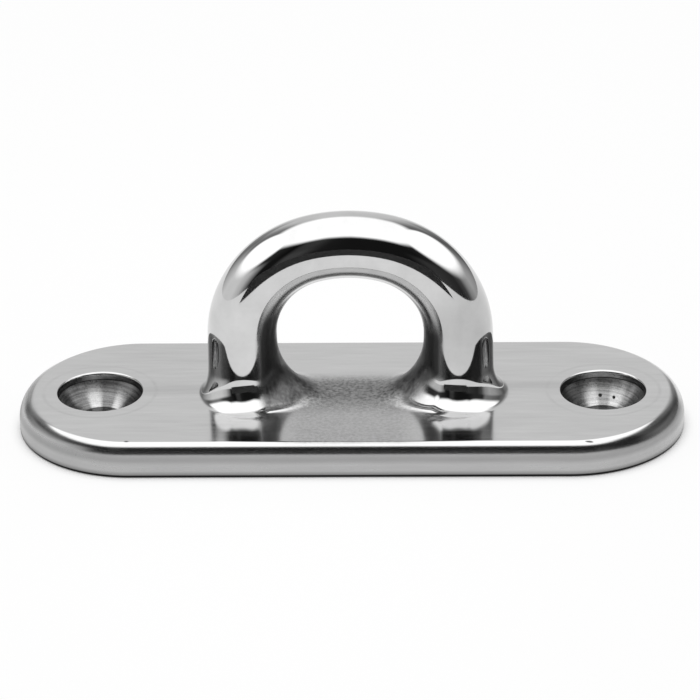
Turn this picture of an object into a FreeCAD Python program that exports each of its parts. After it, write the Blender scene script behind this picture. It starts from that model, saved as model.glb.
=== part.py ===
"""Vang eye plate: an oblong plate with two countersunk screw holes and a round-bar bow, all in one piece.

Units are millimetres. The origin is the centre of the plate's underside, +X runs along the plate
from screw to screw, and +Z points up through the eye. Both sides of the long middle plane are
alike, so the half of the plate and legs behind that plane is modelled and then mirrored.
"""

import FreeCAD, Part
import math
import os

V = FreeCAD.Vector
ORIGIN = V(0, 0, 0)
ALONG = V(1, 0, 0)
ACROSS = V(0, 1, 0)
UP = V(0, 0, 1)

# Plate
plate_width = 35.0
plate_thickness = 5.3
end_margin = 12.1
top_edge_radius = 1.65

# Screw holes
screw_spacing = 75.0
screw_hole_diameter = 6.6
head_diameter = 12.7
head_angle = 90.0
head_recess = 1.1
rim_bevel = 0.4

# Bow: straight legs that widen down to the plate, a shoulder arc on each side, a flatter crown arc
bar_diameter = 10.0
foot_diameter = 10.6
leg_spacing = 32.0
leg_height = 9.6
shoulder_offset = 1.8
crown_half_angle = 14.0

# Feet: a small round outside, which flares into the eye over the inner part of each leg
outer_foot_radius = 3.2
inner_foot_radius = 9.0
flare_half_angle = 60.0

# How far a drill's space runs past the surfaces that it goes in and out of
tool_overrun = 1.0
# The least straight leg or flat plate that stays beyond a foot's flare
flare_margin = 0.2

plate_length = screw_spacing + 2 * end_margin
bar_radius = bar_diameter / 2
foot_radius = foot_diameter / 2
crown_angle = math.radians(crown_half_angle)
leg_x = leg_spacing / 2
leg_top = plate_thickness + leg_height
shoulder_radius = leg_x - shoulder_offset
crown_radius = shoulder_radius + shoulder_offset / math.sin(crown_angle)
crown_centre_z = leg_top - shoulder_offset / math.tan(crown_angle)


def edge_through(body, point):
    """The edge of the body that runs through the point, or nearest to it."""
    spot = Part.Vertex(point)
    return min(body.Edges, key=lambda edge: edge.distToShape(spot)[0])


def mirrored(point):
    """The same point on the other leg's side."""
    return V(-point.x, point.y, point.z)


def wire(curves):
    """The curves, which follow each other end to end, as one wire."""
    return Part.Wire([curve.toShape() for curve in curves])


def profile(corners):
    """The flat face inside the polygon that has these corners."""
    return Part.Face(Part.makePolygon(corners + corners[:1]))


def plate_half():
    """The oblong's half behind the middle plane, its ends full rounds and its top edge rounded."""
    end_radius = plate_width / 2
    end_x = plate_length / 2 - end_radius
    diagonal = end_radius * math.sqrt(0.5)
    tip = V(plate_length / 2, 0, 0)
    bend = V(end_x + diagonal, diagonal, 0)
    side = V(end_x, end_radius, 0)
    outline = wire([
        Part.LineSegment(mirrored(tip), tip),
        Part.Arc(tip, bend, side),
        Part.LineSegment(side, mirrored(side)),
        Part.Arc(mirrored(side), mirrored(bend), mirrored(tip)),
    ])
    plate = Part.Face(outline).extrude(UP * plate_thickness)
    edge_points = (bend, ACROSS * end_radius, mirrored(bend))
    top_edge = [edge_through(plate, point + UP * plate_thickness) for point in edge_points]
    return plate.makeFillet(top_edge_radius, top_edge)


def screw_hole(x):
    """The space of one screw: a recess for the head's edge, the countersink and the clearance bore."""
    head_radius = head_diameter / 2
    bore_radius = screw_hole_diameter / 2
    cone_top = plate_thickness - head_recess
    cone_bottom = cone_top - (head_radius - bore_radius) / math.tan(math.radians(head_angle / 2))
    above = plate_thickness + tool_overrun
    below = min(0, cone_bottom) - tool_overrun
    section = [
        V(x, 0, above),
        V(x + head_radius, 0, above),
        V(x + head_radius, 0, cone_top),
        V(x + bore_radius, 0, cone_bottom),
        V(x + bore_radius, 0, below),
        V(x, 0, below),
    ]
    return profile(section).revolve(ALONG * x, UP, 360)


def drilled(body):
    """The body with both screw holes, the rim of each one bevelled."""
    for x in (-screw_spacing / 2, screw_spacing / 2):
        body = body.cut(screw_hole(x))
        rim = edge_through(body, V(x, head_diameter / 2, plate_thickness))
        body = body.makeChamfer(rim_bevel, [rim])
    return body


def arch_point(turn):
    """The bar's centre on the right of the arch, at an angle up from the shoulder's start at the leg."""
    if turn < math.pi / 2 - crown_angle:
        centre = V(shoulder_offset, 0, leg_top)
        radius = shoulder_radius
    else:
        centre = V(0, 0, crown_centre_z)
        radius = crown_radius
    return centre + ALONG * (radius * math.cos(turn)) + UP * (radius * math.sin(turn))


def arch():
    """The bar's arch, from the right leg over shoulder, crown and shoulder to the left leg."""
    spring = V(leg_x, 0, leg_top)
    joint_turn = math.pi / 2 - crown_angle
    shoulder = arch_point(joint_turn / 2)
    joint = arch_point(joint_turn)
    path = wire([
        Part.Arc(spring, shoulder, joint),
        Part.Arc(joint, arch_point(math.pi / 2), mirrored(joint)),
        Part.Arc(mirrored(joint), mirrored(shoulder), mirrored(spring)),
    ])
    section = Part.Wire(Part.makeCircle(bar_radius, spring, UP))
    return path.makePipeShell([section], True, False)


def leg_half(side):
    """One leg's half behind the middle plane, from inside the plate up to the arch, in two wedges.
    They meet in a seam where the foot's flare begins."""
    def towards_eye(radius, z):
        return V(side * (leg_x - radius), 0, z)

    root = plate_thickness / 2
    foot = towards_eye(0, root)
    section = profile([
        foot,
        towards_eye(foot_radius, root),
        towards_eye(foot_radius, plate_thickness),
        towards_eye(bar_radius, leg_top),
        towards_eye(0, leg_top),
    ])
    flare_turn = -side * flare_half_angle
    inner = section.revolve(foot, UP, flare_turn)
    outer = section.rotated(foot, UP, flare_turn).revolve(foot, UP, -side * 180 - flare_turn)
    return [inner, outer]


def blended(body):
    """The body with each foot blended into the plate. The blend has the outer radius round the outside
    of the leg, and from the seam on it grows smoothly to the inner radius under the eye."""
    room = min(leg_height, leg_x - foot_radius) - flare_margin
    inner_radius = min(inner_foot_radius, room)
    turn = math.radians(flare_half_angle / 2)
    middle = V(leg_x - foot_radius * math.cos(turn), foot_radius * math.sin(turn), plate_thickness)
    for point in (middle, mirrored(middle)):
        edge = edge_through(body, point)
        first, last = (abs(vertex.Point.x) for vertex in edge.Vertexes)
        radii = (inner_radius, outer_foot_radius) if first < last else (outer_foot_radius, inner_radius)
        body = body.makeFillet(*radii, [edge])
    return body


def eye_plate():
    """The whole part, its two halves joined in one solid."""
    half = blended(plate_half().fuse(leg_half(1) + leg_half(-1)))
    body = half.fuse([half.mirror(ORIGIN, ACROSS), arch()]).removeSplitter()
    return drilled(body).Solids[0]


os.makedirs("parts", exist_ok=True)
eye_plate().exportStep("parts/eye_plate.step")
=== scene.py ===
"""Looks of the vang eye plate: a mirror-polished stainless fitting in a plain, pale studio.

Lengths are in millimetres, and are turned into metres where a mesh, the camera or a relief is made.
"""

import bpy
import math
import numpy as np
from mathutils import Matrix, Vector
from mathutils.geometry import delaunay_2d_cdt


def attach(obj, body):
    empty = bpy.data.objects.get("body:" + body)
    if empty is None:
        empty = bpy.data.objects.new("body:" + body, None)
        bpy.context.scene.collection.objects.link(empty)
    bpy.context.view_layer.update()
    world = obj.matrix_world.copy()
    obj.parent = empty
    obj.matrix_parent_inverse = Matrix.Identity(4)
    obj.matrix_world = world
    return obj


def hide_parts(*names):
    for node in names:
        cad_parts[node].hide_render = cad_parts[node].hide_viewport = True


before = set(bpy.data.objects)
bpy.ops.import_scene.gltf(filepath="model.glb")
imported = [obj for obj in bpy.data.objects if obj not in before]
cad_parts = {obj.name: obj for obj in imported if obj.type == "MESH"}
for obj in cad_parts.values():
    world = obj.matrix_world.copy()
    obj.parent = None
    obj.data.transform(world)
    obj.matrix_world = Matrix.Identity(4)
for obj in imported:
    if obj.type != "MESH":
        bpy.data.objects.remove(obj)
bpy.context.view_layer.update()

# Metres in a millimetre
MM = 0.001

# Plate: its size, the oval edge at its top and the eased edge at its bottom
PLATE_LENGTH = 99.2
PLATE_WIDTH = 35.0
PLATE_TOP = 5.3
TOP_EDGE_IN = 1.45
TOP_EDGE_DOWN = 2.4
BOTTOM_EDGE_IN = 0.25
BOTTOM_EDGE_UP = 0.3
END_RADIUS = PLATE_WIDTH / 2
END_X = PLATE_LENGTH / 2 - END_RADIUS
# At the tips the top edge is wider by this share and sinks this much deeper. The sinking grows towards
# them with this power of the outward direction's share along x.
TIP_SOFTNESS = 0.8
TIP_DROP = 1.0
TIP_DROP_POWER = 1.2

# Screw holes
SCREW_X = 37.5
BORE_RADIUS = 3.3
HEAD_RADIUS = 6.35
RECESS_Z = 4.2
CONE_FOOT_Z = 0.95
# Radius and height of the corner that the hollow countersink is drawn towards
CONE_BULGE = (5.4, 2.2)
# Width of the rim's bevel at the back and in front, and how sharply it grows to the back
BACK_RIM = 0.4
FRONT_RIM = 0.15
RIM_POWER = 1.5

# Bow: the bar's centre line and its taper from the feet to the crown
LEG_X = 16.0
LEG_TOP = 14.9
SHOULDER_OFFSET = 1.8
CROWN_ANGLE = math.radians(14.0)
SHOULDER_RADIUS = LEG_X - SHOULDER_OFFSET
CROWN_RADIUS = SHOULDER_RADIUS + SHOULDER_OFFSET / math.sin(CROWN_ANGLE)
CROWN_CENTRE_Z = LEG_TOP - SHOULDER_OFFSET / math.tan(CROWN_ANGLE)
CROWN_BAR_RADIUS = 4.95
FOOT_BAR_RADIUS = 5.3
CROWN_RUN = CROWN_RADIUS * CROWN_ANGLE
SHOULDER_RUN = SHOULDER_RADIUS * (math.pi / 2 - CROWN_ANGLE)
ARCH_RUN = CROWN_RUN + SHOULDER_RUN
BOW_RUN = ARCH_RUN + LEG_TOP - PLATE_TOP

# Feet: the blend's width outside, in front and under the eye, its height, and where the flare starts
OUTER_FOOT_WIDTH = {-1: 1.6, 1: 2.6}
FRONT_FOOT_WIDTH = 4.0
FOOT_HEIGHT = 4.7
INNER_FOOT_SIZE = 9.0
FLARE_ANGLE = math.radians(60.0)
# How often the place where a blend meets the tapering leg is worked out anew
CONTACT_ROUNDS = 4
# How far under a point on a leg the place lies that its outward direction is taken from
LEG_DROP = 0.5

# Mesh density
BAR_COLUMNS = 128
ARCH_ROWS = 176
LEG_ROWS = 12
FOOT_ROWS = 26
HOLE_COLUMNS = 112
CONE_POINTS = 14
RIM_ROWS = 6
END_COLUMNS = 96
SIDE_COLUMNS = 160
TOP_EDGE_ROWS = 16
BOTTOM_EDGE_ROWS = 10
# Spacing of the flat's inner points, and how near to its outlines they come, as a share of that
FLAT_SPACING = 1.0
FLAT_CLEARANCE = 0.6
# Which triangles a flat is made of, those inside its outlines, and how near points are joined
INSIDE_OUTLINES = 1
JOINED_POINTS = 1e-7
# Step that normals are worked out over
STEP = 1e-4
# Decimals to which points are rounded before those at one place are welded
WELD_DECIMALS = 4
# Numbers of the two materials in the object's list
POLISHED = 0
TURNED = 1


def unit(vectors):
    """The vectors, each at length one."""
    return vectors / np.linalg.norm(vectors, axis=-1, keepdims=True)


def eased(share):
    """The share, with a soft start and a soft end."""
    return share * share * (3 - 2 * share)


def surface_grid(surface, first, second):
    """Points and normals of surface(a, b) at each pair of the two parameters."""
    a, b = np.meshgrid(first, second, indexing="ij")
    along = surface(a + STEP, b) - surface(a - STEP, b)
    across = surface(a, b + STEP) - surface(a, b - STEP)
    return surface(a, b), unit(np.cross(along, across))


class Skin:
    """Patches of one closed surface. Each corner keeps its own normal, so tangent patches meet smoothly
    and sharp edges stay sharp."""

    def __init__(self):
        self.points = []
        self.normals = []
        self.faces = []
        self.finishes = []
        self.finish = POLISHED
        self.count = 0

    def add(self, points, normals, faces):
        """A patch with the finish that is set. Its faces all turn the way of the first corner's normal."""
        points = np.asarray(points, float).reshape(-1, 3)
        normals = np.broadcast_to(np.asarray(normals, float), points.shape)
        first = faces[0]
        corners = points[list(first)]
        turn = np.cross(corners[1] - corners[0], corners[2] - corners[0])
        flip = np.dot(turn, normals[first[0]]) < 0
        for face in faces:
            indices = [self.count + int(i) for i in face]
            self.faces.append(indices[::-1] if flip else indices)
            self.finishes.append(self.finish)
        self.points.append(points)
        self.normals.append(normals)
        self.count += len(points)

    def add_grid(self, points, normals):
        """A patch whose points stand in rows and columns."""
        rows, columns = points.shape[:2]
        faces = [
            (i * columns + j, i * columns + j + 1, (i + 1) * columns + j + 1, (i + 1) * columns + j)
            for i in range(rows - 1)
            for j in range(columns - 1)
        ]
        self.add(points, normals.reshape(-1, 3), faces)

    def mesh(self, name):
        """One welded mesh in metres."""
        points = np.concatenate(self.points)
        normals = np.concatenate(self.normals)
        keys = np.round(points, WELD_DECIMALS)
        _, first, inverse = np.unique(keys, axis=0, return_index=True, return_inverse=True)
        inverse = inverse.reshape(-1)
        faces = []
        finishes = []
        corner_normals = []
        for face, finish in zip(self.faces, self.finishes):
            kept = [c for n, c in enumerate(face) if inverse[c] != inverse[face[n - 1]]]
            if len(kept) > 2:
                faces.append([int(inverse[c]) for c in kept])
                finishes.append(finish)
                corner_normals.extend(normals[c] for c in kept)
        mesh = bpy.data.meshes.new(name)
        mesh.from_pydata((points[first] * MM).tolist(), [], faces)
        mesh.polygons.foreach_set("use_smooth", [True] * len(mesh.polygons))
        mesh.polygons.foreach_set("material_index", finishes)
        mesh.validate()
        mesh.normals_split_custom_set(corner_normals)
        return mesh


def outline(inset, softness=0.0):
    """Points round the plate's outline, moved inwards, and their outward directions. With some softness
    they are moved further in towards the tips."""
    turns = np.linspace(-math.pi / 2, math.pi / 2, END_COLUMNS + 1)
    runs = np.linspace(END_X, -END_X, SIDE_COLUMNS + 1)[1:-1]
    radius = END_RADIUS - inset * (1 + softness * np.cos(turns) ** 2)
    right = np.stack([END_X + radius * np.cos(turns), radius * np.sin(turns)], axis=-1)
    right_way = np.stack([np.cos(turns), np.sin(turns)], axis=-1)
    back = np.stack([runs, np.full_like(runs, END_RADIUS - inset)], axis=-1)
    back_way = np.stack([np.zeros_like(runs), np.ones_like(runs)], axis=-1)
    points = np.concatenate([right, back, -right, -back])
    ways = np.concatenate([right_way, back_way, -right_way, -back_way])
    return points, ways


def closed(grid):
    """The grid with its first column repeated at the end."""
    return np.concatenate([grid, grid[:, :1]], axis=1)


def swept_edge(skin, rows, softness=0.0):
    """A band round the plate from rows of (inset, height, outward share, upward share). The rows of the
    top edge also sink towards the tips."""
    points = []
    normals = []
    for inset, height, out, up in rows:
        around, ways = outline(inset, softness)
        turn = np.abs(ways[:, :1])
        sunk = TIP_DROP * turn**TIP_DROP_POWER / TOP_EDGE_DOWN
        depth = PLATE_TOP - height
        if depth > TOP_EDGE_DOWN + STEP:
            sunk = 0 * sunk
        slope = np.column_stack([ways * out / (1 + softness * turn**2), up / (1 + sunk)])
        points.append(np.column_stack([around, PLATE_TOP - depth * (1 + sunk)]))
        normals.append(unit(slope))
    skin.add_grid(closed(np.array(points)), closed(np.array(normals)))


def hole_turns():
    """The angles round a screw's axis. The last is the first again, a full turn on."""
    return np.arange(HOLE_COLUMNS + 1) * (2 * math.pi / HOLE_COLUMNS)


def ring(x, radius):
    """Points round a screw's axis, at one radius or one for each point."""
    turns = hole_turns()[:-1]
    return np.column_stack([x + radius * np.cos(turns), radius * np.sin(turns)])


def hole_band(skin, x, rows):
    """A band inside a screw hole from rows of (radius, height, outward share, upward share)."""
    turns = hole_turns()
    out = np.column_stack([np.cos(turns), np.sin(turns)])
    points = []
    normals = []
    for radius, height, share, up in rows:
        reach = np.broadcast_to(radius, turns.shape)[:, None]
        level = np.broadcast_to(height, turns.shape)
        points.append(np.column_stack([x + reach * out[:, :1], reach * out[:, 1:], level]))
        normals.append(np.column_stack([out * share, np.full(len(turns), up)]))
    skin.add_grid(np.array(points), np.array(normals))


def rim_width():
    """The rim's width round a screw hole. It is wider at the back."""
    return FRONT_RIM + (BACK_RIM - FRONT_RIM) * np.clip(np.sin(hole_turns()), 0, 1) ** RIM_POWER


def cone_rows():
    """The countersink from its top to the bore, a little hollow, as rows for a hole's band."""
    rows = []
    start = np.array([HEAD_RADIUS, RECESS_Z])
    middle = np.array(CONE_BULGE)
    end = np.array([BORE_RADIUS, CONE_FOOT_Z])
    for t in np.linspace(0, 1, CONE_POINTS):
        radius, height = (1 - t) ** 2 * start + 2 * t * (1 - t) * middle + t**2 * end
        way = unit((1 - t) * (middle - start) + t * (end - middle))
        rows.append((radius, height, way[1], -way[0]))
    return rows


def rounded(width, depth, rows):
    """Steps of a quarter oval: how far out and down it has come, and its outward and upward shares."""
    steps = []
    for turn in np.linspace(0, math.pi / 2, rows + 1):
        share, up = unit(np.array([math.sin(turn) / width, math.cos(turn) / depth]))
        steps.append((width * math.sin(turn), depth * (1 - math.cos(turn)), share, up))
    return steps


def bar_radius(run):
    """The bar's radius at a distance along the centre line from the crown's middle."""
    return CROWN_BAR_RADIUS + (FOOT_BAR_RADIUS - CROWN_BAR_RADIUS) * (run / BOW_RUN) ** 2


def centre_line(run):
    """The bar's centre and outward direction at a signed distance from the crown's middle, in x and z."""
    side = np.where(run < 0, -1.0, 1.0)
    far = np.abs(run)
    crown = math.pi / 2 - far / CROWN_RADIUS
    shoulder = math.pi / 2 - CROWN_ANGLE - (far - CROWN_RUN) / SHOULDER_RADIUS
    turn = np.where(far < CROWN_RUN, crown, np.maximum(shoulder, 0.0))
    radius = np.where(far < CROWN_RUN, CROWN_RADIUS, SHOULDER_RADIUS)
    middle_x = np.where(far < CROWN_RUN, 0.0, SHOULDER_OFFSET)
    middle_z = np.where(far < CROWN_RUN, CROWN_CENTRE_Z, LEG_TOP)
    drop = np.maximum(far - ARCH_RUN, 0.0)
    x = side * (middle_x + radius * np.cos(turn))
    z = middle_z + radius * np.sin(turn) - drop
    return x, z, side * np.cos(turn), np.sin(turn)


def bow_point(run, angle):
    """A point on the bar, at an angle from the side that faces the eye."""
    x, z, out_x, out_z = centre_line(run)
    radius = bar_radius(run)
    inward = -radius * np.cos(angle)
    return np.stack([x + out_x * inward, radius * np.sin(angle), z + out_z * inward], axis=-1)


def blend_size(side, angle):
    """The foot blend's width and height at an angle from the side that faces the eye."""
    turn = np.abs(np.mod(angle + math.pi, 2 * math.pi) - math.pi)
    flare = eased(np.clip(1 - turn / FLARE_ANGLE, 0, 1))
    front = eased(np.clip((math.pi - turn) / (math.pi - FLARE_ANGLE), 0, 1))
    outer = OUTER_FOOT_WIDTH[side]
    width = outer + (FRONT_FOOT_WIDTH - outer) * front
    width = width + (INNER_FOOT_SIZE - width) * flare
    return width, FOOT_HEIGHT + (INNER_FOOT_SIZE - FOOT_HEIGHT) * flare


def blend_contact(side, angle):
    """Where the foot's blend leaves the leg: its height, the leg's radius and the oval's turn there."""
    width, height = blend_size(side, angle)
    turn = np.zeros_like(width)
    for _ in range(CONTACT_ROUNDS):
        top = PLATE_TOP + height * (1 - np.sin(turn))
        run = ARCH_RUN + LEG_TOP - top
        slope = 2 * (FOOT_BAR_RADIUS - CROWN_BAR_RADIUS) * run / BOW_RUN**2
        turn = np.arctan(slope * height / width)
    return top, bar_radius(run), turn


def foot_point(side, share, angle):
    """A point on a foot's blend, from the plate at share 0 to the leg at share 1."""
    width, height = blend_size(side, angle)
    _, leg_radius, contact = blend_contact(side, angle)
    turn = math.pi / 2 - share * (math.pi / 2 - contact)
    reach = leg_radius + width * (np.cos(contact) - np.cos(turn))
    z = PLATE_TOP + height * (1 - np.sin(turn))
    return np.stack([side * (LEG_X - reach * np.cos(angle)), reach * np.sin(angle), z], axis=-1)


def leg_point(side, share, angle):
    """A point on a leg, from the blend's contact at share 0 to the arch at share 1."""
    height, _, _ = blend_contact(side, angle)
    run = ARCH_RUN + (LEG_TOP - height) * (1 - share)
    return bow_point(side * run, angle)


def outward(points, normals):
    """The normals, turned to point away from the bar's centre line or up from the plate."""
    side = np.sign(points[..., 0])
    angle = np.arctan2(points[..., 2] - LEG_TOP, np.abs(points[..., 0]) - SHOULDER_OFFSET)
    high = points[..., 2] > LEG_TOP
    near_x = np.where(high, side * (SHOULDER_OFFSET + SHOULDER_RADIUS * np.cos(angle)), side * LEG_X)
    near_z = np.where(high, LEG_TOP + SHOULDER_RADIUS * np.sin(angle), points[..., 2] - LEG_DROP)
    away = points - np.stack([near_x, np.zeros_like(near_x), near_z], axis=-1)
    facing = np.sign(np.sum(away * normals, axis=-1, keepdims=True))
    facing[facing == 0] = 1
    return normals * facing


def add_bow(skin):
    """The whole bow. Returns the outlines of its two feet on the plate."""
    angles = np.linspace(0, 2 * math.pi, BAR_COLUMNS + 1)
    runs = np.linspace(ARCH_RUN, -ARCH_RUN, ARCH_ROWS + 1)
    points, normals = surface_grid(bow_point, runs, angles)
    skin.add_grid(points, outward(points, normals))
    footprints = []
    for side in (1, -1):
        shares = np.linspace(0, 1, LEG_ROWS + 1)
        points, normals = surface_grid(lambda a, b: leg_point(side, a, b), shares, angles)
        skin.add_grid(points, outward(points, normals))
        shares = np.linspace(0, 1, FOOT_ROWS + 1)
        points, normals = surface_grid(lambda a, b: foot_point(side, a, b), shares, angles)
        normals = outward(points, normals)
        normals[0] = (0, 0, 1)
        skin.add_grid(points, normals)
        footprints.append(points[0, :-1, :2])
    return footprints


def inside(loop, points):
    """Which of the points lie inside the closed loop."""
    x, y = points[:, 0], points[:, 1]
    result = np.zeros(len(points), bool)
    for (ax, ay), (bx, by) in zip(loop, np.roll(loop, -1, axis=0)):
        crosses = (ay > y) != (by > y)
        with np.errstate(divide="ignore", invalid="ignore"):
            at = ax + (y - ay) * (bx - ax) / (by - ay)
        result ^= crosses & (x < at)
    return result


def on_face(rim, holes, points):
    """Which of the points lie inside the rim and outside the holes."""
    result = inside(rim, points)
    for hole in holes:
        result &= ~inside(hole, points)
    return result


def inner_points(rim, holes, outlines):
    """Points of a grid on a flat face that aren't too near to its outlines."""
    xs = np.arange(-PLATE_LENGTH / 2, PLATE_LENGTH / 2, FLAT_SPACING)
    ys = np.arange(-PLATE_WIDTH / 2, PLATE_WIDTH / 2, FLAT_SPACING)
    grid = np.stack(np.meshgrid(xs, ys), axis=-1).reshape(-1, 2)
    gaps = np.linalg.norm(grid[:, None] - outlines[None], axis=-1).min(axis=1)
    return grid[on_face(rim, holes, grid) & (gaps > FLAT_CLEARANCE * FLAT_SPACING)]


def signed_area(corners):
    """Twice the area of a flat triangle, positive where its corners run anticlockwise."""
    a, b, c = corners
    return (b[0] - a[0]) * (c[1] - a[1]) - (b[1] - a[1]) * (c[0] - a[0])


def add_flat(skin, height, way, rim, holes, dense=False):
    """A flat face of the plate inside its rim, without the holes. A dense one has inner points."""
    loops = [rim, *holes]
    points = np.concatenate(loops)
    edges = []
    start = 0
    for loop in loops:
        count = len(loop)
        edges += [(start + i, start + (i + 1) % count) for i in range(count)]
        start += count
    if dense:
        points = np.concatenate([points, inner_points(rim, holes, points)])
    corners = [Vector(point) for point in points]
    found = delaunay_2d_cdt(corners, edges, [], INSIDE_OUTLINES, JOINED_POINTS)[2]
    middles = np.array([points[list(face)].mean(axis=0) for face in found])
    faces = []
    for face, kept in zip(found, on_face(rim, holes, middles)):
        if kept:
            faces.append(face if signed_area(points[list(face)]) > 0 else face[::-1])
    skin.add(np.column_stack([points, np.full(len(points), height)]), (0, 0, way), faces)


def add_edges(skin):
    """The plate's rounded top edge, its wall and its eased bottom edge."""
    swept_edge(skin, [
        (TOP_EDGE_IN - out, PLATE_TOP - down, share, up)
        for out, down, share, up in rounded(TOP_EDGE_IN, TOP_EDGE_DOWN, TOP_EDGE_ROWS)
    ], TIP_SOFTNESS)
    swept_edge(skin, [(0, PLATE_TOP - TOP_EDGE_DOWN, 1, 0), (0, BOTTOM_EDGE_UP, 1, 0)])
    swept_edge(skin, [
        (BOTTOM_EDGE_IN - out, down, share, -up)
        for out, down, share, up in rounded(BOTTOM_EDGE_IN, BOTTOM_EDGE_UP, BOTTOM_EDGE_ROWS)
    ])


def add_screw_hole(skin, x):
    """One screw hole's inside. Returns its outlines on the plate's top and underside."""
    width = rim_width()
    hole_band(skin, x, [
        (HEAD_RADIUS + width * (1 - out), PLATE_TOP - width * down, -share, up)
        for out, down, share, up in rounded(1.0, 1.0, RIM_ROWS)
    ])
    skin.finish = TURNED
    hole_band(skin, x, [(HEAD_RADIUS, PLATE_TOP - width, -1, 0), (HEAD_RADIUS, RECESS_Z, -1, 0)])
    hole_band(skin, x, cone_rows())
    hole_band(skin, x, [(BORE_RADIUS, CONE_FOOT_Z, -1, 0), (BORE_RADIUS, 0, -1, 0)])
    skin.finish = POLISHED
    return ring(x, HEAD_RADIUS + width[:-1]), ring(x, BORE_RADIUS)


def add_plate(skin, footprints):
    """The plate with its two countersunk holes, and its top open under the bow's feet."""
    add_edges(skin)
    rims, bores = zip(*(add_screw_hole(skin, x) for x in (-SCREW_X, SCREW_X)))
    top_rim, _ = outline(TOP_EDGE_IN, TIP_SOFTNESS)
    bottom_rim, _ = outline(BOTTOM_EDGE_IN)
    add_flat(skin, PLATE_TOP, 1, top_rim, [*rims, *footprints], dense=True)
    add_flat(skin, 0.0, -1, bottom_rim, bores)


def add_object(name, mesh):
    """An object of the scene that holds the mesh."""
    made = bpy.data.objects.new(name, mesh)
    bpy.context.scene.collection.objects.link(made)
    return made


skin = Skin()
add_plate(skin, add_bow(skin))
eye_plate = add_object("eye_plate_polished", skin.mesh("eye_plate_polished"))
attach(eye_plate, "root")
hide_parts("eye_plate")


# How far from the object's middle to each side a value on the left turns into that on the right
MIDDLE_WIDTH = 1.0
# How soft a spot's edge is, as a share of its size, and how deep a dent goes, as a share of the relief
SPOT_SOFTNESS = 0.35
DENT_DEPTH = 4.0


class Nodes:
    """Adds nodes to a tree. A number or another node's output may stand for any input."""

    def __init__(self, tree):
        self.tree = tree

    def add(self, kind, inputs=(), **settings):
        """A node with these settings, and its inputs by name or place."""
        made = self.tree.nodes.new(kind)
        for key, value in settings.items():
            setattr(made, key, value)
        for key, value in dict(inputs).items():
            self.set(made.inputs[key], value)
        return made

    def set(self, socket, value):
        """Links the socket to a node's output, or gives it a value of its own."""
        if isinstance(value, bpy.types.NodeSocket):
            self.tree.links.new(value, socket)
        else:
            socket.default_value = value

    def math(self, operation, first, second=0.0, third=0.0):
        """A number worked out from up to three others."""
        made = self.add("ShaderNodeMath", {0: first, 1: second, 2: third}, operation=operation)
        return made.outputs[0]

    def vector(self, operation, first, second=(0, 0, 0), output="Vector"):
        """A vector, or a number if the output is "Value", worked out from one or two vectors."""
        made = self.add("ShaderNodeVectorMath", {0: first, 1: second}, operation=operation)
        return made.outputs[output]

    def join(self, x, y=0.0, z=0.0):
        """The vector that has these three numbers."""
        return self.add("ShaderNodeCombineXYZ", {0: x, 1: y, 2: z}).outputs[0]

    def split(self, vector):
        """The three numbers of the vector."""
        return self.add("ShaderNodeSeparateXYZ", {0: vector}).outputs

    def product(self, first, *others):
        """All the numbers multiplied."""
        for other in others:
            first = self.math("MULTIPLY", first, other)
        return first

    def line(self, value, slope, start):
        """The start, and so many times the value added to it."""
        return self.math("MULTIPLY_ADD", value, slope, start)

    def gap(self, value, level):
        """How far the value is from the level."""
        return self.math("ABSOLUTE", self.math("SUBTRACT", value, level))

    def length(self, first, second):
        """The length of a flat vector that has these two numbers."""
        return self.math("SQRT", self.line(first, first, self.math("MULTIPLY", second, second)))

    def ramp(self, value, low, high, start=0.0, end=1.0):
        """A smooth step from start to end as the value goes from low to high."""
        made = self.add(
            "ShaderNodeMapRange",
            {"Value": value, "From Min": low, "From Max": high, "To Min": start, "To Max": end},
            interpolation_type="SMOOTHSTEP",
        )
        return made.outputs[0]

    def fall(self, value, low, high):
        """A smooth step from one to zero as the value goes from low to high."""
        return self.ramp(value, low, high, 1.0, 0.0)

    def by_side(self, x, left, right):
        """One number on the object's left side and another on its right side."""
        return self.ramp(x, -MIDDLE_WIDTH, MIDDLE_WIDTH, left, right)

    def curve(self, value, points):
        """Straight runs through points whose x and y are from 0 to 1."""
        made = self.add("ShaderNodeFloatCurve", {"Value": value})
        line = made.mapping.curves[0]
        for x, y in points[1:-1]:
            line.points.new(x, y)
        line.points[0].location = points[0]
        line.points[-1].location = points[-1]
        for point in line.points:
            point.handle_type = "VECTOR"
        made.mapping.update()
        return made.outputs[0]

    def blend(self, share, first, second):
        """A number that goes from the first to the second as the share goes from 0 to 1."""
        return self.add("ShaderNodeMix", {"Factor": share, "A": first, "B": second}).outputs["Result"]


def object_place(nodes):
    """The place on the object in millimetres: as a vector, and as its x, y and z."""
    place = nodes.add("ShaderNodeTexCoord").outputs["Object"]
    place = nodes.vector("MULTIPLY", place, (1 / MM, 1 / MM, 1 / MM))
    return place, *nodes.split(place)


def noise(nodes, place, detail):
    """Noise from 0 to 1, with about one feature to the unit and so many finer layers."""
    return nodes.add("ShaderNodeTexNoise", {"Vector": place, "Scale": 1.0, "Detail": detail}).outputs[0]


def grain(nodes, place, density, detail):
    """Noise from 0 to 1, with so many features to the millimetre along x, y and z."""
    return noise(nodes, nodes.vector("MULTIPLY", place, density), detail)


def spot(nodes, place, centre, size, softness=SPOT_SOFTNESS):
    """One inside the oval spot that has this centre and half sizes, and a soft edge round it."""
    away = nodes.vector("DIVIDE", nodes.vector("SUBTRACT", place, centre), size)
    reach = nodes.vector("LENGTH", away, output="Value")
    return nodes.fall(reach, 1 - softness, 1 + softness)


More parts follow.
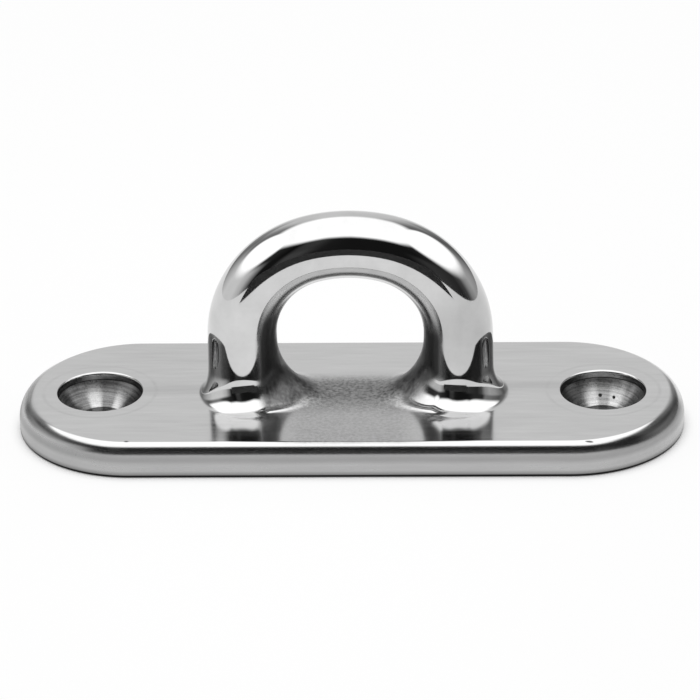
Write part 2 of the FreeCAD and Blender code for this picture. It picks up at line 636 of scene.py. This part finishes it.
def dented(nodes, place, spots, dent_tone, tone, relief):
    """The tone and the relief with a small dark dent at each of the spots."""
    for centre, size in spots:
        dent = spot(nodes, place, centre, size)
        tone = nodes.blend(dent, tone, dent_tone)
        relief = nodes.line(dent, -DENT_DEPTH, relief)
    return tone, relief


def steel_shader(name):
    """A material with a metal shader: the material, its nodes and the shader."""
    material = bpy.data.materials.new(name)
    material.use_nodes = True
    shader = material.node_tree.nodes["Principled BSDF"]
    shader.inputs["Metallic"].default_value = 1.0
    return material, Nodes(material.node_tree), shader


def set_finish(nodes, shader, tone, roughness, relief, depth):
    """Links the grey tone, the roughness and the relief, whose depth is in millimetres."""
    grey = nodes.add("ShaderNodeCombineColor", {0: tone, 1: tone, 2: tone}).outputs[0]
    nodes.set(shader.inputs["Base Color"], grey)
    nodes.set(shader.inputs["Roughness"], roughness)
    bump = nodes.add("ShaderNodeBump", {"Height": relief, "Strength": 1.0, "Distance": depth * MM})
    nodes.set(shader.inputs["Normal"], bump.outputs[0])


# Polished steel. Places are in millimetres, and a pair of them tells between which a finish changes.
# Grey tones as the wheel leaves the steel, on the wall with its painted shade, and of the painted shade under
# the eye
POLISHED_TONE = 0.62
WALL_TONE = 0.45
ARCH_SHADE_TONE = 0.12
# Grey tones of the faint painted shade, of dents and of the painted contact shadow along the deck
FAINT_SHADE_TONE = 0.1
DENT_TONE = 0.12
DECK_SHADOW_TONE = 0.01

# Marks in the steel: features to the millimetre along x, y and z, and how many finer layers they have
WHEEL_MARKS = (0.14, 1.8, 1.8), 5.0
PLATE_CLOUDS = (0.07, 0.3, 0.3), 3.0
BOW_CLOUDS = (0.32, 0.32, 0.22), 5.0
LEG_STREAKS = (1.8, 1.8, 0.15), 4.0
PATCH_SPECKS = (2.2, 3.4, 3.4), 5.0
# Which part of their noise makes specks, and how much painted shade and dull metal show between and in them
SPECK_SPAN = (0.3, 0.7)
PATCH_SHARE = (0.7, 0.96)
# Which parts of the streaks' noise uncover the painted shade and dull metal, and how far they vary that shade
STREAK_COVER_SPAN = (0.25, 0.7)
STREAK_COVER = (0.85, 1.0)
STREAK_SHADE_SPAN = (0.36, 0.64)
STREAK_SHADE = (0.35, 1.7)
# How bright mottled steel is at least, and what the marks add at most
PLATE_LEAST = 0.84
WHEEL_MARK_SHADE = 0.18
PLATE_CLOUD_SHADE = 0.14
BOW_LEAST = 0.8
BOW_CLOUD_SHADE = 0.4
# How much of the plate's mottle is left on the bow
PLATE_MOTTLE_ON_BOW = 0.25

# Heights, from the deck up
# Where the painted contact shadow along the deck fades out
DECK_SHADOW = (0.34, 0.58)
WALL_FOOT = (0.5, 1.2)
WALL = (1.5, 4.9)
WALL_MIDDLE = (1.9, 3.0)
WALL_TOP = (3.2, 4.4)
SOFT_EDGE = (PLATE_TOP - 0.35, PLATE_TOP - 0.02)
BOW_START = (PLATE_TOP, 10.0)
# How near the flat's height a place counts as flat
FLAT = (0.01, 0.12)
# Painted shade on the wall: how bright its foot is, and how much darker its upper half is
WALL_FOOT_SHADE = 0.62
WALL_DIM = 0.34
# Painted dark reflection bands in the plate's front corners: their span along x, how far back they go, the
# heights where they begin and end, and how much darker they are
CORNER_BANDS = [
    ((36.0, 44.0), (-4.0, 1.0), (3.1, 4.1), (4.8, 5.15), 0.6),
    ((-35.0, -44.0), (-5.0, -1.0), (3.8, 4.4), (4.7, 5.05), 0.5),
]

# Painted shade and dull metal on the flat under the eye: where they fade to the sides, back and front, how
# much is left in front, and how far above and below the flat they go
PATCH_SIDE = (6.0, 12.5)
PATCH_BACK = (2.0, 6.5)
PATCH_FRONT = (-9.0, -1.0)
PATCH_FRONT_SHARE = 0.42
PATCH_TOP = (PLATE_TOP + 1.0, PLATE_TOP + 3.0)
PATCH_BOTTOM = (PLATE_TOP - 0.3, PLATE_TOP - 0.05)
# Painted shade and dull metal on the legs: how far the surface has to face the eye on the left and right
# flare and on a leg, how soft that limit is, and the heights where flare turns into leg
FLARE_FACING = (0.34, 0.66)
LEG_FACING = 0.38
FACING_SOFTNESS = 0.24
FLARE_TOP = (8.0, 10.5)
# Where it ends up the legs, how much higher on the left and on the right, over what height it comes in
# above the plate, and how steeply on the left and on the right
DULL_SHADE_TOP = (15.5, 21.0)
DULL_SHADE_LIFT = (2.5, 0.0)
DULL_SHADE_FOOT = 1.3
DULL_SHADE_STEEPNESS = (1.4, 0.85)
# Where the painted shade gets darker up the legs, and to what share of its tone
SHADE_DEEP = (6.0, 10.5)
SHADE_DEEP_SHARE = 1 / 3

# Roughness of the bow and of the top edge. For the flat, the wall and the dull metal it is what their
# marks add at most, and the least.
BOW_ROUGHNESS = 0.055
EDGE_ROUGHNESS = 0.19
FLAT_ROUGHNESS = (0.16, 0.05)
WALL_ROUGHNESS = (0.2, 0.15)
DULL_ROUGHNESS = (0.3, 0.22)
# Softer polish at the plate's left end, and round the back of its tip: where, and how much rougher
LEFT_END = (-47.0, -33.0)
LEFT_END_TOP = (2.0, 5.25)
LEFT_END_ROUGHNESS = 0.14
LEFT_TIP = (-46.0, -40.0)
LEFT_TIP_FRONT = (-5.0, 0.0)
LEFT_TIP_TOP = (PLATE_TOP - 0.25, PLATE_TOP - 0.02)
LEFT_TIP_ROUGHNESS = 0.22
# Relief: its full depth, and how much of it the wheel marks and the streaks have
POLISHED_DEPTH = 0.01
WHEEL_MARK_RELIEF = 0.05
STREAK_RELIEF = 0.5

# Small dark dents in the edges: centres and half sizes
NICKS = [
    ((-32.4, -16.0, 5.3), (0.3, 0.2, 0.3)),
    ((34.9, -16.3, 5.2), (0.6, 0.14, 0.3)),
    ((-48.0, -5.4, 4.9), (0.25, 0.6, 0.3)),
]
# Faint painted shade ring round each screw hole: its radius, how it fades away from
# there, and how strong it is where the clouds are thin and dense
SHADE_RING = 8.4
SHADE_RING_FADE = (0.05, 0.45)
SHADE_RING_SPAN = (0.35, 0.65)
SHADE_RING_SHARE = (0.02, 0.1)
# Faint painted shade on the flat between the feet and the screw holes, and on the right leg: centres, half
# sizes
SHADE_PATCHES = [
    ((-26.5, 0.8, 5.3), (9.0, 1.6, 2.0)),
    ((27.5, 1.6, 5.3), (8.0, 1.2, 2.0)),
    ((17.0, -4.5, 17.5), (6.5, 3.5, 7.0)),
    ((17.5, -4.5, 17.5), (4.5, 3.0, 5.0)),
]
SHADE_PATCH_SOFTNESS = 0.8
SHADE_PATCH_SHARE = 0.14
# Least length that another is divided by
LEAST_LENGTH = 0.01


def facing_eye(nodes, x, y, z):
    """One where a leg or its flare faces the eye. Painted shade and dull metal reach less far round the left
    foot than the right.
    """
    across = nodes.math("SUBTRACT", nodes.math("ABSOLUTE", x), SHOULDER_OFFSET)
    above = nodes.math("MAXIMUM", nodes.math("SUBTRACT", z, LEG_TOP), 0.0)
    inward = nodes.math("SUBTRACT", SHOULDER_RADIUS, nodes.length(across, above))
    reach = nodes.math("MAXIMUM", nodes.length(inward, y), LEAST_LENGTH)
    limit = nodes.blend(nodes.ramp(z, *FLARE_TOP), nodes.by_side(x, *FLARE_FACING), LEG_FACING)
    facing = nodes.math("SUBTRACT", nodes.math("DIVIDE", inward, reach), limit)
    height = nodes.math("SUBTRACT", z, nodes.by_side(x, *DULL_SHADE_LIFT))
    over_plate = nodes.product(nodes.math("SUBTRACT", z, PLATE_TOP), nodes.by_side(x, *DULL_SHADE_STEEPNESS))
    return nodes.product(
        nodes.ramp(facing, 0.0, FACING_SOFTNESS),
        nodes.fall(height, *DULL_SHADE_TOP),
        nodes.ramp(over_plate, 0.0, DULL_SHADE_FOOT),
    )


def under_eye(nodes, x, y, z):
    """One on the flat under the eye. It fades to the sides, to the back and a little to the front."""
    return nodes.product(
        nodes.fall(nodes.math("ABSOLUTE", x), *PATCH_SIDE),
        nodes.fall(y, *PATCH_BACK),
        nodes.ramp(y, *PATCH_FRONT, PATCH_FRONT_SHARE, 1.0),
        nodes.fall(z, *PATCH_TOP),
        nodes.ramp(z, *PATCH_BOTTOM),
    )


def shade_and_dull_share(nodes, place, x, y, z, streaks):
    """How much painted shade and dull metal show: speckled on the flat under the eye, and streaky on the
    legs.
    """
    specks = grain(nodes, place, *PATCH_SPECKS)
    patch = nodes.product(under_eye(nodes, x, y, z), nodes.ramp(specks, *SPECK_SPAN, *PATCH_SHARE))
    inner = nodes.product(facing_eye(nodes, x, y, z), nodes.ramp(streaks, *STREAK_COVER_SPAN, *STREAK_COVER))
    return nodes.math("MAXIMUM", inner, patch)


def corner_shade(nodes, x, y, z):
    """How bright the painted dark reflection bands in the plate's front corners are. It is one elsewhere."""
    shade = 1.0
    for ends, back, bottom, top, depth in CORNER_BANDS:
        band = nodes.product(nodes.ramp(x, *ends), nodes.fall(y, *back))
        band = nodes.product(band, nodes.ramp(z, *bottom), nodes.fall(z, *top))
        shade = nodes.product(shade, nodes.line(band, -depth, 1.0))
    return shade


def polished_tone(nodes, place, x, y, z, marks, clouds):
    """The grey of the polished steel, faintly mottled, with painted shade on the wall and in the front
    corners.
    """
    # The wall's darker grey is painted shade
    tone = nodes.blend(nodes.fall(z, *WALL), POLISHED_TONE, WALL_TONE)
    on_plate = nodes.line(marks, WHEEL_MARK_SHADE, nodes.line(clouds, PLATE_CLOUD_SHADE, PLATE_LEAST))
    on_bow = nodes.line(grain(nodes, place, *BOW_CLOUDS), BOW_CLOUD_SHADE, BOW_LEAST)
    mottle = nodes.blend(nodes.ramp(z, *BOW_START, 1.0, PLATE_MOTTLE_ON_BOW), on_bow, on_plate)
    # Painted shade at the wall's foot and in its upper half
    dim = nodes.product(nodes.ramp(z, *WALL_MIDDLE, 0.0, WALL_DIM), nodes.fall(z, *WALL_TOP))
    shade = nodes.math("SUBTRACT", nodes.ramp(z, *WALL_FOOT, WALL_FOOT_SHADE, 1.0), dim)
    return nodes.product(tone, mottle, shade, corner_shade(nodes, x, y, z))


def faintly_shaded(nodes, tone, place, x, y, clouds, flat):
    """The tone with faint painted shade: a ring round each screw hole, and patches on the flat and the right
    leg.
    """
    across = nodes.math("SUBTRACT", nodes.math("ABSOLUTE", x), SCREW_X)
    ring_shade = nodes.fall(nodes.gap(nodes.length(across, y), SHADE_RING), *SHADE_RING_FADE)
    ring_shade = nodes.product(ring_shade, flat, nodes.ramp(clouds, *SHADE_RING_SPAN, *SHADE_RING_SHARE))
    # Painted shade ring round each screw hole
    tone = nodes.blend(ring_shade, tone, FAINT_SHADE_TONE)
    # Faint painted shade patches
    for centre, size in SHADE_PATCHES:
        shade_patch = nodes.product(spot(nodes, place, centre, size, SHADE_PATCH_SOFTNESS), SHADE_PATCH_SHARE)
        tone = nodes.blend(shade_patch, tone, FAINT_SHADE_TONE)
    return tone


def polished_roughness(nodes, x, y, z, marks, flat):
    """The roughness of the polished steel: least on the bow, more on the plate's edges and left end."""
    rough = nodes.blend(flat, BOW_ROUGHNESS, nodes.line(marks, *FLAT_ROUGHNESS))
    rough = nodes.blend(nodes.fall(z, *SOFT_EDGE), rough, EDGE_ROUGHNESS)
    rough = nodes.blend(nodes.fall(z, *WALL), rough, nodes.line(marks, *WALL_ROUGHNESS))
    end = nodes.product(nodes.fall(x, *LEFT_END), nodes.fall(z, *LEFT_END_TOP))
    tip = nodes.product(nodes.fall(x, *LEFT_TIP), nodes.ramp(y, *LEFT_TIP_FRONT))
    tip = nodes.product(tip, nodes.fall(z, *LEFT_TIP_TOP))
    return nodes.line(tip, LEFT_TIP_ROUGHNESS, nodes.line(end, LEFT_END_ROUGHNESS, rough))


def polished_material():
    """Mirror-polished stainless steel with fine wheel marks, and painted shade on dull metal under the eye.
    """
    material, nodes, shader = steel_shader("polished_steel")
    place, x, y, z = object_place(nodes)
    marks = grain(nodes, place, *WHEEL_MARKS)
    clouds = grain(nodes, place, *PLATE_CLOUDS)
    streaks = grain(nodes, place, *LEG_STREAKS)
    flat = nodes.fall(nodes.gap(z, PLATE_TOP), *FLAT)
    # How much painted shade under the eye's arch, and duller metal there, show
    dull = shade_and_dull_share(nodes, place, x, y, z, streaks)

    tone = polished_tone(nodes, place, x, y, z, marks, clouds)
    tone = faintly_shaded(nodes, tone, place, x, y, clouds, flat)
    # Painted shade under the eye's arch, darker higher up the legs and varied by the streaks
    painted_shade_tone = nodes.ramp(z, *SHADE_DEEP, ARCH_SHADE_TONE, ARCH_SHADE_TONE * SHADE_DEEP_SHARE)
    painted_shade_tone = nodes.product(nodes.ramp(streaks, *STREAK_SHADE_SPAN, *STREAK_SHADE), painted_shade_tone)
    tone = nodes.blend(dull, tone, painted_shade_tone)
    # Painted contact shadow along the deck
    tone = nodes.blend(nodes.fall(z, *DECK_SHADOW), tone, DECK_SHADOW_TONE)

    rough = polished_roughness(nodes, x, y, z, marks, flat)
    rough = nodes.blend(dull, rough, nodes.line(streaks, *DULL_ROUGHNESS))
    relief = nodes.product(marks, WHEEL_MARK_RELIEF)
    relief = nodes.blend(dull, relief, nodes.line(streaks, STREAK_RELIEF, marks))
    tone, relief = dented(nodes, place, NICKS, DENT_TONE, tone, relief)
    set_finish(nodes, shader, tone, rough, relief, POLISHED_DEPTH)
    return material


# Turned steel in the screw holes. Its least grey tone on the left and on the right, and what rings add
TURNED_TONE = (0.13, 0.18)
RING_TONE = 0.14
# Rings: how many there are to the millimetre of radius and depth, how far they wander, how many finer
# layers they have, and which part of their noise makes them
RING_DENSITY = 2.8
RING_WANDER = 0.22
RING_DETAIL = 4.0
RING_SPAN = (0.35, 0.65)
# Specks that the chips left: features to the millimetre, finer layers, and the shades that they give
CHIP_SPECKS = (4.5, 4.5, 4.5), 4.0
CHIP_SHADE = (0.84, 1.14)
# Painted highlight streaks down each countersink: their angles in degrees in the left and the right hole
HIGHLIGHT_STREAKS = [(106, 111), (54, 62), (250, 262), (305, 295)]
# How near to a streak's middle it begins, as a cosine, what it adds at the cone's foot and top, and how much
# of that the left and the right hole have
HIGHLIGHT_EDGE = (0.955, 0.998)
HIGHLIGHT_TONE = (0.36, 0.12)
HIGHLIGHT_SHARE = (1.0, 0.7)
# Where the painted shade in the bore ends, how bright it is, and painted shade lines in the inner corners
BORE_TOP = (CONE_FOOT_Z - 0.15, CONE_FOOT_Z + 0.1)
BORE_SHADE = 0.35
CORNER_LINE = (0.03, 0.12)
CORNER_LINE_SHADE = 0.2
# Roughness, as what the specks add at most and the least, and how far it is drawn out along the rings
TURNED_ROUGHNESS = (0.2, 0.2)
TURNED_STRETCH = 0.75
# Relief: its full depth, and how much the specks add to the rings
TURNED_DEPTH = 0.02
CHIP_RELIEF = 0.4
# Pits in the right countersink: centres and half sizes, and their tone
PITS = [((37.3, 4.7, 2.0), (0.22, 0.24, 0.24)), ((39.3, 4.2, 1.9), (0.19, 0.24, 0.24))]
PIT_TONE = 0.02


def with_painted_highlights(nodes, tone, across, x, y, z):
    """The tone with painted highlight streaks down the countersink."""
    way = nodes.vector("NORMALIZE", nodes.join(across, y))
    bright = nodes.ramp(z, CONE_FOOT_Z, RECESS_Z, *HIGHLIGHT_TONE)
    bright = nodes.product(bright, nodes.by_side(x, *HIGHLIGHT_SHARE))
    for turns in HIGHLIGHT_STREAKS:
        left, right = np.radians(turns).tolist()
        streak_x = nodes.by_side(x, math.cos(left), math.cos(right))
        streak_y = nodes.by_side(x, math.sin(left), math.sin(right))
        nearness = nodes.vector("DOT_PRODUCT", way, nodes.join(streak_x, streak_y), "Value")
        tone = nodes.line(nodes.ramp(nearness, *HIGHLIGHT_EDGE), bright, tone)
    return tone


def turned_material():
    """Steel as the countersink leaves it: dull, with fine rings round the screw's axis."""
    material, nodes, shader = steel_shader("turned_steel")
    place, x, y, z = object_place(nodes)
    across = nodes.math("SUBTRACT", x, nodes.by_side(x, -SCREW_X, SCREW_X))
    along = nodes.product(nodes.math("ADD", nodes.length(across, y), z), RING_DENSITY)
    wander = nodes.vector("MULTIPLY", place, (RING_WANDER, RING_WANDER, RING_WANDER))
    rings = noise(nodes, nodes.vector("ADD", nodes.join(along), wander), RING_DETAIL)
    specks = grain(nodes, place, *CHIP_SPECKS)

    tone = nodes.line(nodes.ramp(rings, *RING_SPAN), RING_TONE, nodes.by_side(x, *TURNED_TONE))
    # Painted highlight streaks down the countersink
    tone = with_painted_highlights(nodes, tone, across, x, y, z)
    tone = nodes.product(tone, nodes.ramp(specks, *SPECK_SPAN, *CHIP_SHADE))
    # Painted shade in the bore and in the inner corners
    tone = nodes.product(tone, nodes.ramp(z, *BORE_TOP, BORE_SHADE, 1.0))
    for level in (CONE_FOOT_Z, RECESS_Z):
        tone = nodes.product(tone, nodes.ramp(nodes.gap(z, level), *CORNER_LINE, CORNER_LINE_SHADE, 1.0))
    rough = nodes.line(specks, *TURNED_ROUGHNESS)
    relief = nodes.line(specks, CHIP_RELIEF, rings)
    tone, relief = dented(nodes, place, PITS, PIT_TONE, tone, relief)
    set_finish(nodes, shader, tone, rough, relief, TURNED_DEPTH)
    shader.inputs["Anisotropic"].default_value = TURNED_STRETCH
    nodes.set(shader.inputs["Tangent"], nodes.join(0.0, 0.0, 1.0))
    return material


eye_plate.data.materials.append(polished_material())
eye_plate.data.materials.append(turned_material())


# Studio. Azimuths are in degrees from the back, over the right, and heights in degrees over the horizon.
# Tones of the tent's walls low down and higher up, and where the soft light overhead begins
SOFT_LIGHT = 1.66
LOW_TONE = [
    (-180, 0.01), (-171, 0.015), (-165, 0.07), (-158, 0.07), (-152, 0.01), (-142, 0.01), (-134, 0.3),
    (-126, 0.62), (-110, 0.85), (-80, 0.85), (-62, 0.62), (-50, 0.42), (-38, 0.2), (-24, 0.35),
    (-15, 0.75), (0, 0.82), (12, 0.78), (20, 0.3), (34, 0.12), (48, 0.28), (62, 0.42), (80, 0.5),
    (96, 0.34), (108, 0.08), (122, 0.03), (150, 0.05), (162, 0.01), (180, 0.01),
]
HIGH_TONE = [
    (-180, 0.01), (-171, 0.015), (-165, 0.05), (-158, 0.05), (-152, 0.005), (-130, 0.03), (-112, 0.08),
    (-98, 0.28), (-80, 0.26), (-60, 0.13), (-40, 0.28), (-26, 0.7), (-15, 0.8), (0, 0.82), (12, 0.8),
    (20, 0.55), (32, 0.2), (50, 0.12), (76, 0.22), (94, 0.24), (104, 0.03), (130, 0.03), (150, 0.01),
    (180, 0.01),
]
LIGHT_EDGE = [
    (-180, 49), (-165, 48), (-150, 43), (-130, 42), (-100, 44), (-60, 45), (-30, 46), (0, 46), (25, 47),
    (60, 52), (110, 51), (130, 45), (150, 43), (165, 47), (180, 49),
]
# Heights between which the low tones turn into the high ones, and how far round its edge the light fades
TONE_CHANGE = (16, 25)
LIGHT_FADE = (-5, 7)
# Reach of the floor and of the tent, and how far the floor is under the plate, in millimetres
STUDIO_REACH = 6000
FLOOR_DROP = 0.05
# The floor's grey, how far it looks lit up, and how far from the plate's outline that begins and is full,
# which paints a contact shadow
FLOOR_TONE = 0.95
FLOOR_GLOW = 0.88
FLOOR_CLEARANCE = (-1.4, 1.8)
# Black card in front: its ends along x, its place along y, its height, in millimetres, and its grey
CARD_ENDS = (-107, 74)
CARD_Y = -128
CARD_HEIGHT = 45
CARD_TONE = 0.05
# Oval side lights: place along x, middle along y and z, half width and half height, in millimetres
SIDE_LIGHTS = [(-81, -5, 96, 58, 52), (67, 0, 97, 66, 55)]
# How much larger a side light's panel is, and where its light fades, as a share of the panel's width
SIDE_LIGHT_PANEL = 1.11
SIDE_LIGHT_FADE = (0.37, 0.5)


def white_world():
    """Plain white at strength 1, for the camera and for all else that looks past the studio."""
    world = bpy.data.worlds.new("studio")
    world.use_nodes = True
    background = world.node_tree.nodes["Background"]
    background.inputs["Color"].default_value = (1.0, 1.0, 1.0, 1.0)
    background.inputs["Strength"].default_value = 1.0
    bpy.context.scene.world = world


def glowing_material(name):
    """A material with no shader yet: the material, its nodes and its surface socket."""
    material = bpy.data.materials.new(name)
    material.use_nodes = True
    material.node_tree.nodes.clear()
    nodes = Nodes(material.node_tree)
    return material, nodes, nodes.add("ShaderNodeOutputMaterial").inputs["Surface"]


def round_curve(nodes, turn, points, most=1):
    """A value by azimuth, from points in degrees whose values are this much at most."""
    shares = [(azimuth / 360 + 0.5, value / most) for azimuth, value in points]
    return nodes.product(nodes.curve(turn, shares), most)


def tent_material():
    """The light tent's inside: grey walls that are dark at the camera's side, and soft light overhead."""
    material, nodes, surface = glowing_material("light_tent")
    way = nodes.vector("NORMALIZE", nodes.add("ShaderNodeTexCoord").outputs["Object"])
    x, y, z = nodes.split(way)
    height = nodes.math("DEGREES", nodes.math("ARCSINE", z))
    turn = nodes.line(nodes.math("ARCTAN2", x, y), 0.5 / math.pi, 0.5)
    low = round_curve(nodes, turn, LOW_TONE)
    high = round_curve(nodes, turn, HIGH_TONE)
    edge = round_curve(nodes, turn, LIGHT_EDGE, most=90)
    wall = nodes.blend(nodes.ramp(height, *TONE_CHANGE), low, high)
    share = nodes.ramp(nodes.math("SUBTRACT", height, edge), *LIGHT_FADE)
    glow = nodes.add("ShaderNodeEmission", {"Strength": nodes.blend(share, wall, SOFT_LIGHT)})
    nodes.set(surface, glow.outputs[0])
    return material


def side_light_material():
    """A soft oval light with nothing round it."""
    material, nodes, surface = glowing_material("side_light")
    _, y, z = nodes.split(nodes.add("ShaderNodeTexCoord").outputs["Generated"])
    middle = 0.5
    reach = nodes.length(nodes.math("SUBTRACT", y, middle), nodes.math("SUBTRACT", z, middle))
    clear = nodes.add("ShaderNodeBsdfTransparent").outputs[0]
    light = nodes.add("ShaderNodeEmission", {"Strength": SOFT_LIGHT}).outputs[0]
    both = nodes.add("ShaderNodeMixShader", {0: nodes.fall(reach, *SIDE_LIGHT_FADE), 1: clear, 2: light})
    nodes.set(surface, both.outputs[0])
    return material


def plain_material(name, tone):
    """A dull surface of one grey."""
    material = bpy.data.materials.new(name)
    material.use_nodes = True
    shader = material.node_tree.nodes["Principled BSDF"]
    shader.inputs["Base Color"].default_value = (tone, tone, tone, 1)
    shader.inputs["Roughness"].default_value = 1.0
    shader.inputs["Specular IOR Level"].default_value = 0.0
    return material


def floor_material():
    """A white floor. The camera and mirrors see it lit up, but not where the plate stands, and less just
    round it, which paints a contact shadow there. It keeps the object's shadow."""
    material = plain_material("floor", FLOOR_TONE)
    nodes = Nodes(material.node_tree)
    _, x, y, _ = object_place(nodes)
    past_end = nodes.math("MAXIMUM", nodes.math("SUBTRACT", nodes.math("ABSOLUTE", x), END_X), 0.0)
    away = nodes.math("SUBTRACT", nodes.length(past_end, y), END_RADIUS)
    seen = nodes.add("ShaderNodeLightPath").outputs
    share = nodes.math("MAXIMUM", seen["Is Camera Ray"], seen["Is Glossy Ray"])
    share = nodes.math("MAXIMUM", share, seen["Is Transmission Ray"])
    # The glow fades near the plate's outline: a painted contact shadow
    share = nodes.product(share, nodes.ramp(away, *FLOOR_CLEARANCE, 0.0, FLOOR_GLOW))
    dull = material.node_tree.nodes["Principled BSDF"].outputs[0]
    white = nodes.add("ShaderNodeEmission", {"Strength": 1.0}).outputs[0]
    both = nodes.add("ShaderNodeMixShader", {0: share, 1: dull, 2: white})
    nodes.set(material.node_tree.nodes["Material Output"].inputs["Surface"], both.outputs[0])
    return material


def add_stage(name, corners, material, faces=((0, 1, 2, 3),)):
    """A flat quad of the studio, or more of them, with its corners in millimetres."""
    mesh = bpy.data.meshes.new(name)
    mesh.from_pydata([[c * MM for c in corner] for corner in corners], [], faces)
    mesh.materials.append(material)
    made = add_object(name, mesh)
    return made


def add_floor():
    """The white floor, a hair under the plate."""
    corners = [(-1, -1), (1, -1), (1, 1), (-1, 1)]
    corners = [(x * STUDIO_REACH, y * STUDIO_REACH, -FLOOR_DROP) for x, y in corners]
    add_stage("floor", corners, floor_material())


def add_tent():
    """The light tent: a box round the whole studio."""
    ends = (-STUDIO_REACH, STUDIO_REACH)
    corners = [(x, y, z) for x in ends for y in ends for z in ends]
    faces = [(0, 1, 3, 2), (4, 6, 7, 5), (0, 4, 5, 1), (2, 3, 7, 6), (0, 2, 6, 4), (1, 5, 7, 3)]
    return add_stage("light_tent", corners, tent_material(), faces)


def add_card():
    """The black card in front of the object."""
    left, right = CARD_ENDS
    corners = [(left, 0), (right, 0), (right, CARD_HEIGHT), (left, CARD_HEIGHT)]
    corners = [(x, CARD_Y, z) for x, z in corners]
    return add_stage("front_card", corners, plain_material("front_card", CARD_TONE))


def add_side_lights():
    """The oval lights on both sides of the object."""
    glow = side_light_material()
    lights = []
    for number, (x, middle_y, middle_z, width, height) in enumerate(SIDE_LIGHTS):
        reach_y, reach_z = width * SIDE_LIGHT_PANEL, height * SIDE_LIGHT_PANEL
        corners = [(-reach_y, -reach_z), (reach_y, -reach_z), (reach_y, reach_z), (-reach_y, reach_z)]
        corners = [(x, middle_y + y, middle_z + z) for y, z in corners]
        lights.append(add_stage(f"side_light_{number}", corners, glow))
    return lights


def add_studio():
    """The white world and floor, and round the object the pieces that only the metal sees."""
    white_world()
    add_floor()
    for made in (add_tent(), add_card(), *add_side_lights()):
        made.visible_camera = False


add_studio()


# Camera, at the photograph's angle: lengths in millimetres, and angles that are given in degrees
CAMERA_DISTANCE = 566.827
CAMERA_ELEVATION = math.radians(26.275)
CAMERA_SWING = math.radians(1.6173)
CAMERA_ROLL = math.radians(-0.9488)
CAMERA_TARGET = Vector((-0.0752, 0, 12.0669))
CAMERA_LENS = 196.66
CAMERA_SENSOR = 36.0
# Nearest and farthest that the camera sees, in metres
CAMERA_RANGE = (0.01, 50)


def add_camera():
    """The camera, which looks down at the target along the plate's short side."""
    back = Vector((
        math.sin(CAMERA_SWING) * math.cos(CAMERA_ELEVATION),
        -math.cos(CAMERA_SWING) * math.cos(CAMERA_ELEVATION),
        math.sin(CAMERA_ELEVATION),
    ))
    level = Vector((math.cos(CAMERA_SWING), math.sin(CAMERA_SWING), 0))
    up = level.cross(-back)
    right = level * math.cos(CAMERA_ROLL) + up * math.sin(CAMERA_ROLL)
    top = up * math.cos(CAMERA_ROLL) - level * math.sin(CAMERA_ROLL)
    data = bpy.data.cameras.new("camera")
    data.lens = CAMERA_LENS
    data.sensor_width = CAMERA_SENSOR
    data.sensor_fit = "HORIZONTAL"
    data.clip_start, data.clip_end = CAMERA_RANGE
    camera = add_object("camera", data)
    place = Matrix((right, top, back)).transposed().to_4x4()
    place.translation = (CAMERA_TARGET + back * CAMERA_DISTANCE) * MM
    camera.matrix_world = place
    bpy.context.scene.camera = camera


add_camera()

bpy.context.scene.view_settings.view_transform = "Standard"
